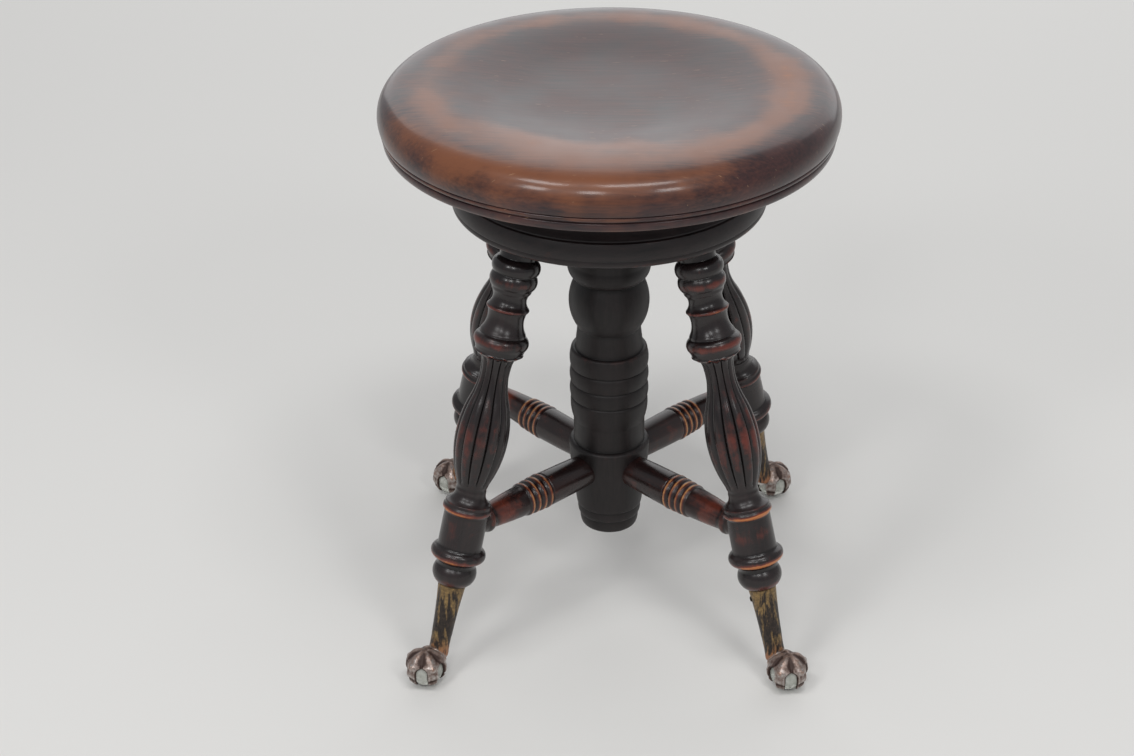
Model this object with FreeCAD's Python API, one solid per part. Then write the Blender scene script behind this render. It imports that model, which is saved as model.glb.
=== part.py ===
import FreeCAD, Part
import os
from math import cos, radians, sin, sqrt, tan

Vector = FreeCAD.Vector

# A turned wooden stool whose round seat screws up and down in a central post.
# Millimetres. The origin is on the floor under the post, +Z is up and -Y is the front.

# Frame heights and plan
APRON_UNDERSIDE = 361.0
APRON_THICKNESS = 47.0
SEAT_GAP = 8.9
LEG_AZIMUTHS = {"back_right": 45.0, "back_left": 135.0, "front_left": 225.0, "front_right": 315.0}
LEG_CIRCLE = 91.4
LEG_SPLAY = 16.44

# Seat: one dished board with a round nose and two fine beads under it
SEAT_RADIUS = 177.8
SEAT_THICKNESS = 41.6
NOSE_RADIUS = 21.0
NOSE_TURN_BACK = 23.0
DISH_RIM_WIDTH = 40.8
DISH_DEPTH = 9.0
DISH_LIP_DROP = 2.6
SEAT_LOWER_INSET = 4.8
SEAT_BEAD = 5.2
SEAT_BEAD_BULGE = 0.7

# Screw that lifts the seat, right-handed
SCREW_LEAD = 6.35
SEAT_TRAVEL = 100.0
CORE_RADIUS = 8.4
CREST_RADIUS = 11.1
RIDGE_ROOT_WIDTH = 3.9
RIDGE_CREST_WIDTH = 2.4
RIDGE_SINK = 0.2
THREAD_CLEARANCE = 0.35
SPINDLE_LEFT_IN_NUT = 2.0
SPINDLE_PLAIN_END = 8.0
SPINDLE_END_CHAMFER = 2.0
NECK_BELOW_WASHER = 3.5

# Iron nut let into the apron and post
NUT_FLANGE_RADIUS = 38.0
NUT_FLANGE_THICKNESS = 5.0
NUT_SLEEVE_RADIUS = 16.0
NUT_SLEEVE_LENGTH = 60.0
NUT_SCREW_CIRCLE = 31.0
NUT_SCREW_COUNT = 4

# Iron four-armed plate under the seat
SPIDER_REACH = 92.0
SPIDER_HUB_RADIUS = 27.0
SPIDER_ARM_ROOT = 30.0
SPIDER_ARM_TIP = 18.0
SPIDER_ARM_COUNT = 4
SPIDER_BOSS_RADIUS = 16.0
SPIDER_BOSS_HEIGHT = 12.0
SPIDER_SCREW_CIRCLES = (48.0, 82.0)
PEEN_DEPTH = 2.5

# Leather washer between the plate and the nut
WASHER_THICKNESS = 3.0
WASHER_RADIUS = 17.0
WASHER_CLEARANCE = 0.3

# Countersunk wood screws
SCREW_HEAD_RADIUS = 4.2
SCREW_HEAD_DEPTH = 2.4
SCREW_SHANK_RADIUS = 2.1
SCREW_LENGTH = 19.0
SCREW_POINT = 4.0
SCREW_SLOT_WIDTH = 1.0
SCREW_SLOT_DEPTH = 1.1

# Apron: the turned block that carries the legs and the nut
APRON_RADIUS = 123.5
APRON_TOP_INSET = 11.5
APRON_FOOT_INSET = 3.5
APRON_FOOT_ROUND = 6.0
APRON_RIM_INSET = 2.5
APRON_RIM_BAND = 14.0
APRON_QUIRK = 1.6
APRON_COVE_HOLLOW = 3.0

# Post. Its turnings, and those of the legs, run downwards from the apron: each is
# its length, the radius at its end and how far its curve bulges out.
POST_BOTTOM = 64.3
POST_TOP_RADIUS = 30.0
POST_TENON_RADIUS = 24.0
POST_BORE_CLEARANCE = 1.4
POST_BORE_SPARE = 10.0
POST_PLAIN_RADIUS = 29.0
POST_JOINT_RADIUS = 32.2
POST_UPPER_TURNINGS = [
    (38.0, 31.8, 0),      # cup under the apron
    (29.5, 27.0, 3.0),    # round of the cup
    (43.0, 25.4, 6.2),    # ball
    (19.5, 27.6, 0),      # taper
    (2.4, 31.0, 1.2),     # shoulder of the rings
    (14.6, 31.2, 0.9),    # first ring
    (14.0, 31.2, 0.9),    # second ring
    (14.0, 31.2, 0.9),    # third ring
    (20.0, 29.0, 1.2),    # last ring, running out
]
POST_LOWER_TURNINGS = [
    (4.0, 33.0, 1.3),               # edge of the joint band
    (13.0, POST_JOINT_RADIUS, 0),   # band that takes the stretchers
    (43.0, 26.9, 0),                # long taper
    (1.5, 25.9, 0),                 # groove
    (7.5, 25.6, 0),                 # tail
    (1.6, 24.3, 0),                 # second groove
    (7.7, 23.4, 0.3),               # end
    (3.0, 20.4, 0.8),               # rounded end edge
]

# Legs
LEG_TENON_RADIUS = 9.0
LEG_TENON_LENGTH = 26.0
LEG_TOP_RADIUS = 14.5
LEG_BARREL_RADIUS = 17.7
LEG_END_RADIUS = 11.0
VASE_END_RADIUS = 12.1
VASE_BULGE = 7.3
LEG_UPPER_TURNINGS = [
    (17.4, LEG_TOP_RADIUS, 0),   # neck under the apron
    (12.8, 17.0, 3.2),           # first ring
    (11.8, 16.0, 2.2),           # second ring
    (2.4, 15.4, 0),              # fillet
    (12.6, 16.2, -2.6),          # hollow
    (2.8, 15.6, 0.9),            # bead
    (17.4, 17.6, -2.2),          # long hollow
    (2.2, 18.0, 0.2),            # fillet
    (10.4, 20.0, 2.6),           # large ring
    (4.0, 18.6, 0),              # under the large ring
    (0.9, 19.4, 0),              # lip over the reeds
    (11.0, 12.4, -1.6),          # cove
    (10.0, 12.0, -0.2),          # waist
    (18.0, 15.9, -0.6),          # rise to the vase
]
LEG_LOWER_TURNINGS = [
    (3.0, 12.3, -0.3),               # neck under the vase
    (10.5, 18.2, -2.2),              # flare
    (2.6, 18.4, 0),                  # fillet
    (5.2, 18.2, 1.3),                # upper ring
    (1.2, 17.5, 0),                  # groove
    (27.0, LEG_BARREL_RADIUS, 0),    # barrel that takes the stretcher
    (3.4, 19.6, -0.6),               # rise
    (9.4, 18.4, 3.0),                # lower ring
    (5.2, 15.7, -0.8),               # hollow
    (17.0, LEG_END_RADIUS, 4.0),     # bun on the metal foot
]

# Stretchers
STRETCHER_HEIGHT_AT_POST = 124.0
STRETCHER_HEIGHT_AT_LEG = 126.9
STRETCHER_ROOT_RADIUS = 12.6
STRETCHER_SWELL_RADIUS = 14.2
STRETCHER_TENON_RADIUS = 6.5
STRETCHER_TENON_IN_POST = 11.0
STRETCHER_TENON_IN_LEG = 9.0
STRETCHER_COPE = 8.0
STRETCHER_CAMBER = 0.3
BAND_START = 74.0
BAND_COUNT = 4
BAND_WIDTH = 6.3
BAND_RADIUS = 14.1
BAND_TAPER = 0.3
BAND_BULGE = 0.7
BAND_SHOULDER = 1.6
STRETCHER_NECK_RADIUS = 12.6
STRETCHER_TIP_RADIUS = 9.9
END_BEAD_WIDTH = 7.0
END_BEAD_RADIUS = 10.6
END_BEAD_BULGE = 1.6

# Claw feet, glass balls and the pins that hold the feet on the legs
FOOT_HEIGHT = 81.4
BALL_RADIUS = 14.0
BALL_FLAT_RADIUS = 2.0
TOE_REACH = 10.8
CLAW_THICKNESS = 2.2
CLAW_LIFT = 1.4
CLAW_COUNT = 5
CLAW_WINDOW_WIDTH = 9.7
CLAW_WINDOW_RISE = 8.0
CLAW_TIP_HEIGHT = 1.5
ANKLE_TOP_RADIUS = 11.1
ANKLE_LOW_RADIUS = 7.5
ANKLE_SOCKET_RADIUS = 6.2
ANKLE_SOCKET_DEPTH = 32.0
PIN_DROP = 9.0
PIN_SEAT_DEPTH = 0.5
PIN_TURN = 50
PIN_RADIUS = 1.3
PIN_LENGTH = 10.0
PIN_HEAD_RADIUS = 2.3
PIN_HEAD_HEIGHT = 1.3
PIN_HEAD_TOP_RADIUS = 1.0
PIN_HEAD_BULGE = 0.3

# Fits: a glue line on curved shoulders, and a gap round tenons, screws and the ball
GLUE_LINE = 0.2
FIT = 0.1
# How far one shape runs on into the next before they are joined or cut
RUN_ON = 1.0

# Heights and places that follow from the sizes above
APRON_TOP = APRON_UNDERSIDE + APRON_THICKNESS
SEAT_UNDERSIDE = APRON_TOP + SEAT_GAP
SEAT_TOP = SEAT_UNDERSIDE + SEAT_THICKNESS
NUT_SEAT = APRON_TOP - NUT_FLANGE_THICKNESS
NUT_BOTTOM = NUT_SEAT - NUT_SLEEVE_LENGTH
WASHER_BOTTOM = APRON_TOP + WASHER_CLEARANCE
WASHER_TOP = WASHER_BOTTOM + WASHER_THICKNESS
SPIDER_UNDERSIDE = WASHER_TOP + WASHER_CLEARANCE
SPIDER_BOSS_TOP = SEAT_UNDERSIDE + SPIDER_BOSS_HEIGHT
SPINDLE_BOTTOM = NUT_BOTTOM + SPINDLE_LEFT_IN_NUT - SEAT_TRAVEL
THREAD_BOTTOM = SPINDLE_BOTTOM + SPINDLE_PLAIN_END
THREAD_TOP = WASHER_BOTTOM - NECK_BELOW_WASHER
LEG_LENGTH = (APRON_UNDERSIDE - FOOT_HEIGHT) / cos(radians(LEG_SPLAY))
BALL_HEIGHT = sqrt(BALL_RADIUS ** 2 - BALL_FLAT_RADIUS ** 2)
ANKLE_LENGTH = (FOOT_HEIGHT - BALL_HEIGHT) / cos(radians(LEG_SPLAY)) - ANKLE_LOW_RADIUS


def outline_edge(start, end, bulge):
    """Straight edge, or an arc that stands out from its chord by bulge."""
    if bulge == 0:
        return Part.LineSegment(start, end).toShape()
    chord = end - start
    outward = Vector(-chord.z, 0, chord.x).normalize()
    middle = (start + end) * 0.5 + outward * bulge
    return Part.Arc(start, middle, end).toShape()


def turned(top, radius, turnings, grow=0.0):
    """Solid turned about Z by a list of turnings that runs downwards from top."""
    here = Vector(radius + grow, 0, top)
    edges = [Part.LineSegment(Vector(0, 0, top), here).toShape()]
    for length, end_radius, bulge in turnings:
        there = Vector(end_radius + grow, 0, here.z - length)
        edges.append(outline_edge(here, there, bulge))
        here = there
    foot = Vector(0, 0, here.z)
    edges.append(Part.LineSegment(here, foot).toShape())
    edges.append(Part.LineSegment(foot, Vector(0, 0, top)).toShape())
    return Part.Face(Part.Wire(edges)).revolve(Vector(0, 0, 0), Vector(0, 0, 1), 360)


def cylinder(radius, bottom, top):
    return Part.makeCylinder(radius, top - bottom, Vector(0, 0, bottom))


def total_length(turnings):
    return sum(length for length, end_radius, bulge in turnings)


def round_z(shape, azimuth):
    """Copy of a shape turned about the stool's axis."""
    copy = shape.copy()
    copy.rotate(Vector(0, 0, 0), Vector(0, 0, 1), azimuth)
    return copy


def wood_screw(grow=0.0):
    """Countersunk screw, head face at z = 0 and point down. A grown one cuts its own hole."""
    head = Part.makeCone(SCREW_SHANK_RADIUS + grow, SCREW_HEAD_RADIUS + grow, SCREW_HEAD_DEPTH,
                         Vector(0, 0, -SCREW_HEAD_DEPTH))
    shank = cylinder(SCREW_SHANK_RADIUS + grow, SCREW_POINT - SCREW_LENGTH, -SCREW_HEAD_DEPTH)
    point = Part.makeCone(SCREW_SHANK_RADIUS + grow, grow, SCREW_POINT + grow,
                          Vector(0, 0, SCREW_POINT - SCREW_LENGTH), Vector(0, 0, -1))
    screw = head.fuse([shank, point])
    if grow > 0:
        return screw.fuse(cylinder(SCREW_HEAD_RADIUS + grow, 0, 2 * grow))
    slot = Part.makeBox(4 * SCREW_HEAD_RADIUS, SCREW_SLOT_WIDTH, SCREW_SLOT_DEPTH,
                        Vector(-2 * SCREW_HEAD_RADIUS, -SCREW_SLOT_WIDTH / 2, -SCREW_SLOT_DEPTH))
    return screw.cut(slot)


def nut_screws(grow=0.0):
    screws = []
    for i in range(NUT_SCREW_COUNT):
        screw = wood_screw(grow)
        screw.translate(Vector(NUT_SCREW_CIRCLE, 0, APRON_TOP))
        screws.append(round_z(screw, 360.0 / NUT_SCREW_COUNT * i))
    return screws


def spider_screws(grow=0.0):
    """Two screws in each arm, heads under the plate and points up into the seat."""
    screws = []
    for i in range(SPIDER_ARM_COUNT):
        for circle in SPIDER_SCREW_CIRCLES:
            screw = wood_screw(grow)
            screw.rotate(Vector(0, 0, 0), Vector(1, 0, 0), 180)
            screw.translate(Vector(circle, 0, SPIDER_UNDERSIDE))
            screws.append(round_z(screw, 360.0 / SPIDER_ARM_COUNT * i))
    return screws


def nose_point(angle):
    """Point on the seat's round nose, so many degrees above its widest line."""
    reach = SEAT_RADIUS - NOSE_RADIUS + NOSE_RADIUS * cos(radians(angle))
    return Vector(reach, 0, SEAT_TOP - NOSE_RADIUS + NOSE_RADIUS * sin(radians(angle)))


def make_seat():
    """Dished board with a bullnose rim, bored underneath for the iron plate's boss and screws."""
    dish_radius = SEAT_RADIUS - DISH_RIM_WIDTH
    dish_floor = SEAT_TOP - DISH_DEPTH
    centre = Vector(0, 0, dish_floor)
    dish_middle = Vector(dish_radius / 2, 0, dish_floor + (DISH_DEPTH - DISH_LIP_DROP) / 4)
    dish_lip = Vector(dish_radius, 0, SEAT_TOP - DISH_LIP_DROP)
    crown = nose_point(90)
    rim_middle = Vector((dish_radius + crown.x) / 2, 0, SEAT_TOP - DISH_LIP_DROP / 4)
    nose_end = nose_point(-NOSE_TURN_BACK)
    lower_edge = Vector(SEAT_RADIUS - SEAT_LOWER_INSET, 0, SEAT_UNDERSIDE)
    bead_join = Vector((nose_end.x + lower_edge.x) / 2, 0, nose_end.z - SEAT_BEAD)
    underside = Vector(0, 0, SEAT_UNDERSIDE)
    edges = [
        Part.Arc(centre, dish_middle, dish_lip).toShape(),
        Part.Arc(dish_lip, rim_middle, crown).toShape(),
        Part.Arc(crown, nose_point(0), nose_end).toShape(),
        outline_edge(nose_end, bead_join, SEAT_BEAD_BULGE),
        outline_edge(bead_join, lower_edge, SEAT_BEAD_BULGE),
        Part.LineSegment(lower_edge, underside).toShape(),
        Part.LineSegment(underside, centre).toShape(),
    ]
    board = Part.Face(Part.Wire(edges)).revolve(Vector(0, 0, 0), Vector(0, 0, 1), 360)
    boss_hole = cylinder(SPIDER_BOSS_RADIUS + FIT, SEAT_UNDERSIDE, SPIDER_BOSS_TOP + FIT)
    return board.cut([boss_hole] + spider_screws(FIT))


def make_seat_spider():
    """Cast plate with tapered arms; its boss sits in the seat and holds the spindle."""
    thickness = SEAT_UNDERSIDE - SPIDER_UNDERSIDE
    plate = cylinder(SPIDER_HUB_RADIUS, SPIDER_UNDERSIDE, SEAT_UNDERSIDE)
    root = SPIDER_ARM_ROOT / 2
    tip = SPIDER_ARM_TIP / 2
    straight = SPIDER_REACH - tip
    corners = [Vector(0, -root, SPIDER_UNDERSIDE), Vector(straight, -tip, SPIDER_UNDERSIDE),
               Vector(straight, tip, SPIDER_UNDERSIDE), Vector(0, root, SPIDER_UNDERSIDE)]
    arm = Part.Face(Part.makePolygon(corners + corners[:1])).extrude(Vector(0, 0, thickness))
    arm = arm.fuse(Part.makeCylinder(tip, thickness, Vector(straight, 0, SPIDER_UNDERSIDE)))
    for i in range(SPIDER_ARM_COUNT):
        plate = plate.fuse(round_z(arm, 360.0 / SPIDER_ARM_COUNT * i))
    plate = plate.fuse(cylinder(SPIDER_BOSS_RADIUS, SPIDER_UNDERSIDE, SPIDER_BOSS_TOP)).removeSplitter()
    return plate.cut([spindle_shank(FIT)] + spider_screws(FIT))


def spindle_shank(grow=0.0):
    """Plain upper end of the spindle, spread into a countersink at the top of the boss."""
    shank = cylinder(CORE_RADIUS + grow, SPIDER_UNDERSIDE - grow, SPIDER_BOSS_TOP)
    peen = Part.makeCone(CORE_RADIUS + grow, CORE_RADIUS + PEEN_DEPTH + grow, PEEN_DEPTH,
                         Vector(0, 0, SPIDER_BOSS_TOP - PEEN_DEPTH))
    return shank.fuse(peen)


def thread_ridge(bottom, length, grow=0.0):
    """Helical ridge with a trapezoid section. A grown one cuts the matching thread."""
    root = CORE_RADIUS - RIDGE_SINK
    crest = CREST_RADIUS + grow
    half_root = RIDGE_ROOT_WIDTH / 2 + grow
    half_crest = RIDGE_CREST_WIDTH / 2 + grow
    corners = [Vector(root, 0, bottom - half_root), Vector(crest, 0, bottom - half_crest),
               Vector(crest, 0, bottom + half_crest), Vector(root, 0, bottom + half_root)]
    section = Part.makePolygon(corners + corners[:1])
    helix = Part.makeHelix(SCREW_LEAD, length, root)
    helix.translate(Vector(0, 0, bottom))
    return Part.Wire(helix.Edges).makePipeShell([section], True, True)


def make_spindle():
    core = cylinder(CORE_RADIUS, SPINDLE_BOTTOM + SPINDLE_END_CHAMFER, SPIDER_UNDERSIDE)
    end = Part.makeCone(CORE_RADIUS - SPINDLE_END_CHAMFER, CORE_RADIUS, SPINDLE_END_CHAMFER,
                        Vector(0, 0, SPINDLE_BOTTOM))
    ridge = thread_ridge(THREAD_BOTTOM, THREAD_TOP - THREAD_BOTTOM)
    return core.fuse([end, spindle_shank(), ridge]).removeSplitter()


def make_threaded_nut():
    """Flanged sleeve; its thread is the spindle's own ridge, grown and moved whole turns."""
    sleeve = cylinder(NUT_SLEEVE_RADIUS, NUT_BOTTOM, NUT_SEAT)
    blank = sleeve.fuse(cylinder(NUT_FLANGE_RADIUS, NUT_SEAT, APRON_TOP)).removeSplitter()
    turns_below = int((NUT_BOTTOM - THREAD_BOTTOM) / SCREW_LEAD) - 1
    groove_bottom = THREAD_BOTTOM + turns_below * SCREW_LEAD
    groove = thread_ridge(groove_bottom, APRON_TOP - groove_bottom + 2 * SCREW_LEAD, THREAD_CLEARANCE)
    bore = cylinder(CORE_RADIUS + THREAD_CLEARANCE, NUT_BOTTOM - RUN_ON, APRON_TOP + RUN_ON)
    return blank.cut(groove).cut(bore).cut(nut_screws(FIT))


def make_thrust_washer():
    ring = cylinder(WASHER_RADIUS, WASHER_BOTTOM, WASHER_TOP)
    return ring.cut(cylinder(CORE_RADIUS + WASHER_CLEARANCE, WASHER_BOTTOM, WASHER_TOP))


def make_apron():
    """Turned block: a cove on top, a quirk, a round-edged rim and a flat underside."""
    cove = APRON_THICKNESS - APRON_FOOT_ROUND - APRON_RIM_BAND - APRON_QUIRK
    rim_radius = APRON_RADIUS - APRON_RIM_INSET
    turnings = [
        (cove, rim_radius - APRON_QUIRK, -APRON_COVE_HOLLOW),
        (APRON_QUIRK, rim_radius, 0),
        (APRON_RIM_BAND, APRON_RADIUS, 1.0),
        (APRON_FOOT_ROUND, APRON_RADIUS - APRON_FOOT_INSET, 2.0),
    ]
    block = turned(APRON_TOP, APRON_RADIUS - APRON_TOP_INSET, turnings)
    cuts = [cylinder(POST_TENON_RADIUS + FIT, APRON_UNDERSIDE, NUT_SEAT),
            cylinder(NUT_FLANGE_RADIUS + FIT, NUT_SEAT, APRON_TOP)]
    cuts += nut_screws(FIT)
    cuts += [round_z(leg_tenon(FIT), azimuth) for azimuth in LEG_AZIMUTHS.values()]
    return block.cut(cuts)


def post_turnings():
    """All the post's turnings, with the plain part between them as long as its height needs."""
    ends = POST_UPPER_TURNINGS + POST_LOWER_TURNINGS
    plain = APRON_UNDERSIDE - POST_BOTTOM - total_length(ends)
    return POST_UPPER_TURNINGS + [(plain, POST_PLAIN_RADIUS, 0)] + POST_LOWER_TURNINGS


def post_body(grow=0.0):
    return turned(APRON_UNDERSIDE, POST_TOP_RADIUS, post_turnings(), grow)


def make_center_post():
    """Post with a tenon up into the apron, bored for the nut, the spindle and the stretchers."""
    post = post_body().fuse(cylinder(POST_TENON_RADIUS, APRON_UNDERSIDE, NUT_SEAT))
    sleeve_bore = cylinder(NUT_SLEEVE_RADIUS + FIT, NUT_BOTTOM - FIT, NUT_SEAT)
    bore_radius = CREST_RADIUS + POST_BORE_CLEARANCE
    spindle_bore = cylinder(bore_radius, SPINDLE_BOTTOM - POST_BORE_SPARE, NUT_BOTTOM)
    sockets = [round_z(stretcher_tenons(FIT), azimuth) for azimuth in LEG_AZIMUTHS.values()]
    return post.cut([sleeve_bore, spindle_bore] + sockets)


def leg_turnings():
    """All the leg's turnings, with the vase between them as long as the leg needs."""
    vase = LEG_LENGTH - total_length(LEG_UPPER_TURNINGS + LEG_LOWER_TURNINGS)
    return LEG_UPPER_TURNINGS + [(vase, VASE_END_RADIUS, VASE_BULGE)] + LEG_LOWER_TURNINGS


def on_leg_axis(shape):
    """Moves a shape from the Z axis, apron face at z = 0, to the splayed axis at azimuth 0."""
    shape.rotate(Vector(0, 0, 0), Vector(0, 1, 0), -LEG_SPLAY)
    shape.translate(Vector(LEG_CIRCLE, 0, APRON_UNDERSIDE))
    return shape


def leg_tenon(grow=0.0):
    return on_leg_axis(cylinder(LEG_TENON_RADIUS + grow, -LEG_TENON_RADIUS, LEG_TENON_LENGTH + grow))


def leg_body(grow=0.0):
    """Turned leg with its top sawn off level with the apron's underside."""
    over = LEG_TOP_RADIUS * tan(radians(LEG_SPLAY)) * 2
    turnings = [(over, LEG_TOP_RADIUS, 0)] + leg_turnings()
    body = on_leg_axis(turned(over, LEG_TOP_RADIUS, turnings, grow))
    saw = Part.makeBox(4 * LEG_CIRCLE, 4 * LEG_CIRCLE, 4 * over,
                       Vector(-LEG_CIRCLE, -2 * LEG_CIRCLE, APRON_UNDERSIDE))
    return body.cut(saw)


def make_leg():
    """Leg at azimuth 0 with a tenon at each end, bored for its stretcher and its foot pin."""
    tenon_end = -LEG_LENGTH - ANKLE_SOCKET_DEPTH + FIT
    foot_tenon = on_leg_axis(cylinder(ANKLE_SOCKET_RADIUS - FIT, tenon_end, RUN_ON - LEG_LENGTH))
    leg = leg_body().fuse([leg_tenon(), foot_tenon])
    return leg.cut([stretcher_tenons(FIT), foot_pin(FIT)])


def leg_radius_at(height):
    """Distance of the leg's axis from the stool's axis at a height above the floor."""
    return LEG_CIRCLE + (APRON_UNDERSIDE - height) * tan(radians(LEG_SPLAY))


def on_stretcher_axis(shape):
    """Moves a shape from the Z axis, pointing down, to the stretcher's line at azimuth 0."""
    span = leg_radius_at(STRETCHER_HEIGHT_AT_LEG)
    rise = STRETCHER_HEIGHT_AT_LEG - STRETCHER_HEIGHT_AT_POST
    line = Vector(span, 0, rise)
    shape.rotate(Vector(0, 0, 0), Vector(0, 1, 0), -90)
    turn = FreeCAD.Rotation(Vector(1, 0, 0), line)
    move = FreeCAD.Placement(Vector(0, 0, STRETCHER_HEIGHT_AT_POST), turn)
    shape.Placement = move.multiply(shape.Placement)
    return shape


def stretcher_ends():
    """Distances along the stretcher of its shoulders on the post and on the leg's barrel."""
    half_barrel = LEG_BARREL_RADIUS / cos(radians(LEG_SPLAY))
    return POST_JOINT_RADIUS, leg_radius_at(STRETCHER_HEIGHT_AT_LEG) - half_barrel


def stretcher_tenons(grow=0.0):
    """Round tenon from inside the post to inside the leg; grown, it bores both sockets."""
    post_shoulder, leg_shoulder = stretcher_ends()
    start = post_shoulder - STRETCHER_TENON_IN_POST - grow
    end = leg_shoulder + STRETCHER_TENON_IN_LEG + grow
    return on_stretcher_axis(cylinder(STRETCHER_TENON_RADIUS + grow, -end, -start))


def make_stretcher():
    """Tapered stretcher with a band of beads, coped to the post and to the leg."""
    post_shoulder, leg_shoulder = stretcher_ends()
    start = post_shoulder - STRETCHER_COPE
    taper_start = BAND_START + BAND_COUNT * BAND_WIDTH + BAND_SHOULDER
    bead_start = leg_shoulder - END_BEAD_WIDTH
    turnings = [(BAND_START - start, STRETCHER_SWELL_RADIUS, STRETCHER_CAMBER)]
    for i in range(BAND_COUNT):
        turnings.append((BAND_WIDTH, BAND_RADIUS - BAND_TAPER * i, BAND_BULGE))
    turnings += [
        (BAND_SHOULDER, STRETCHER_NECK_RADIUS, 0),
        (bead_start - taper_start, STRETCHER_TIP_RADIUS, STRETCHER_CAMBER),
        (END_BEAD_WIDTH, END_BEAD_RADIUS, END_BEAD_BULGE),
        (STRETCHER_COPE, END_BEAD_RADIUS, 0),
    ]
    bar = on_stretcher_axis(turned(-start, STRETCHER_ROOT_RADIUS, turnings))
    bar = bar.cut([post_body(GLUE_LINE), leg_body(GLUE_LINE)])
    bar = max(bar.Solids, key=lambda solid: solid.Volume)
    return bar.fuse(stretcher_tenons())


def ball_centre():
    """The ball stands outside the ankle's line, under the reaching toes."""
    return Vector(leg_radius_at(BALL_HEIGHT) + TOE_REACH, 0, BALL_HEIGHT)


def below(height):
    """Block under a height, round the ball, that trims the foot's pieces."""
    span = 8 * BALL_RADIUS
    return Part.makeBox(span, span, span, Vector(ball_centre().x - span / 2, -span / 2, height - span))


def make_glass_ball():
    """Clear ball with a small worn flat where it stands on the floor."""
    return Part.makeSphere(BALL_RADIUS, ball_centre()).cut(below(0))


def ankle_radius(drop):
    """Radius of the tapered ankle at a distance down from its top."""
    return ANKLE_TOP_RADIUS - (ANKLE_TOP_RADIUS - ANKLE_LOW_RADIUS) * drop / ANKLE_LENGTH


def foot_pin(grow=0.0):
    """Round-headed pin through the ankle into the leg's tenon, from beside its inner face."""
    head = [(PIN_HEAD_HEIGHT, PIN_HEAD_RADIUS, PIN_HEAD_BULGE), (0, PIN_RADIUS, 0)]
    head_top = PIN_HEAD_TOP_RADIUS
    if grow > 0:
        head = [(PIN_HEAD_HEIGHT, PIN_HEAD_RADIUS, 0), (0, PIN_RADIUS, 0)]
        head_top = PIN_HEAD_RADIUS
    pin = turned(PIN_HEAD_HEIGHT, head_top, head + [(PIN_LENGTH + grow, PIN_RADIUS, 0)], grow)
    pin.rotate(Vector(0, 0, 0), Vector(0, 1, 0), -90)
    pin.translate(Vector(PIN_SEAT_DEPTH - ankle_radius(PIN_DROP), 0, -LEG_LENGTH - PIN_DROP))
    pin.rotate(Vector(0, 0, 0), Vector(0, 0, 1), PIN_TURN)
    return on_leg_axis(pin)


def claw_window():
    """Arched opening between two talons, cut outwards from the ball's centre."""
    depth = 2 * BALL_RADIUS
    arch_height = CLAW_WINDOW_RISE - CLAW_WINDOW_WIDTH / 2
    arch = Part.makeCylinder(CLAW_WINDOW_WIDTH / 2, depth, Vector(0, 0, arch_height), Vector(1, 0, 0))
    opening = Part.makeBox(depth, CLAW_WINDOW_WIDTH, arch_height + depth,
                           Vector(0, -CLAW_WINDOW_WIDTH / 2, -depth))
    return arch.fuse(opening)


def make_claw_foot():
    """Casting: a tapered ankle with a socket for the leg, and five talons round the ball."""
    ball = ball_centre()
    claws = Part.makeSphere(BALL_RADIUS + CLAW_THICKNESS, ball + Vector(0, 0, CLAW_LIFT))
    for i in range(CLAW_COUNT):
        window = round_z(claw_window(), 360.0 / CLAW_COUNT * (i + 0.5))
        window.translate(ball)
        claws = claws.cut(window)
    ankle_bottom = -LEG_LENGTH - ANKLE_LENGTH
    ankle = Part.makeCone(ANKLE_LOW_RADIUS, ANKLE_TOP_RADIUS, ANKLE_LENGTH, Vector(0, 0, ankle_bottom))
    heel = Part.makeSphere(ANKLE_LOW_RADIUS, Vector(0, 0, ankle_bottom))
    claws = claws.fuse(on_leg_axis(ankle.fuse(heel)))
    socket_floor = -LEG_LENGTH - ANKLE_SOCKET_DEPTH
    socket = on_leg_axis(cylinder(ANKLE_SOCKET_RADIUS, socket_floor, RUN_ON - LEG_LENGTH))
    cavity = Part.makeSphere(BALL_RADIUS + FIT, ball)
    foot = claws.cut([socket, cavity, below(CLAW_TIP_HEIGHT), foot_pin(FIT)])
    return max(foot.Solids, key=lambda solid: solid.Volume)


def save(name, shape):
    if not shape.isValid():
        raise ValueError(name + " is not a valid solid")
    print(name, len(shape.Solids), round(shape.Volume, 1))
    shape.exportStep("parts/" + name + ".step")


os.makedirs("parts", exist_ok=True)
save("seat", make_seat())
save("seat_spider", make_seat_spider())
save("spider_screws", Part.makeCompound(spider_screws()))
save("spindle", make_spindle())
save("thrust_washer", make_thrust_washer())
save("threaded_nut", make_threaded_nut())
save("nut_screws", Part.makeCompound(nut_screws()))
save("apron", make_apron())
save("center_post", make_center_post())
leg = make_leg()
stretcher = make_stretcher()
claw_foot = make_claw_foot()
glass_ball = make_glass_ball()
for corner, azimuth in LEG_AZIMUTHS.items():
    save("leg_" + corner, round_z(leg, azimuth))
    save("stretcher_" + corner, round_z(stretcher, azimuth))
    save("claw_foot_" + corner, round_z(claw_foot, azimuth))
    save("glass_ball_" + corner, round_z(glass_ball, azimuth))
save("foot_pins", Part.makeCompound([round_z(foot_pin(), azimuth) for azimuth in LEG_AZIMUTHS.values()]))
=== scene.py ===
from math import asin, atan, ceil, cos, pi, radians, sin, sqrt, tan

import bmesh
import bpy
import numpy as np
from mathutils import Matrix, Vector


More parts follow.
